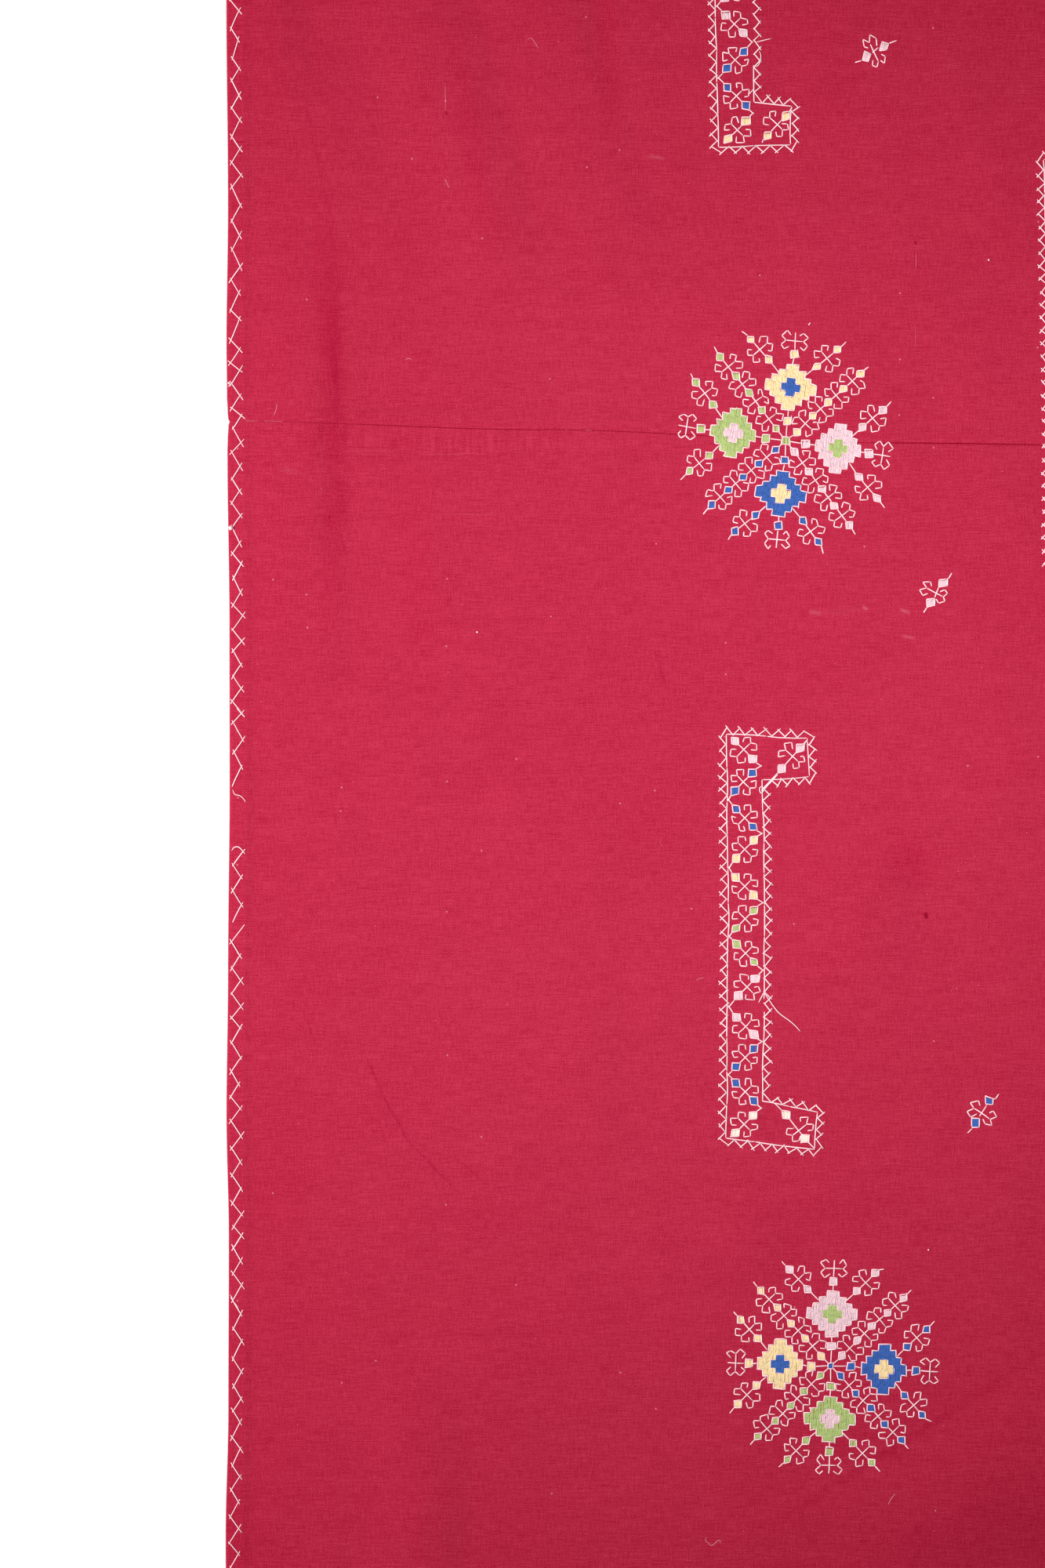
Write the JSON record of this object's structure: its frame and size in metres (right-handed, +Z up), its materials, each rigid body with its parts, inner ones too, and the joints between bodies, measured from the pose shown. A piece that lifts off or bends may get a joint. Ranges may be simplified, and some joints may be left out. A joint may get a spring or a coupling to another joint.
{
  "type": "embroidered cotton panel",
  "caption": "Rectangular cotton panel of sewn widths with turned hems, soft folds and star and bracket embroidery, lying face up.",
  "frame": {"origin": "below the middle of the panel, on the surface that it lies on", "axes": "+X towards the panel's right, +Y towards its top edge, +Z up out of its embroidered face"},
  "size_m": [0.902, 1.308, 0.0038],
  "materials": {
    "red_cotton": "matt plain weave",
    "cream_thread": "soft twisted thread",
    "yellow_thread": "soft twisted thread",
    "green_thread": "soft twisted thread",
    "blue_thread": "soft twisted thread",
    "pink_thread": "soft twisted thread"
  },
  "bodies": {
    "root": {"upper_cloth": "red_cotton", "lower_cloth": "red_cotton"}
  },
  "joints": []
}
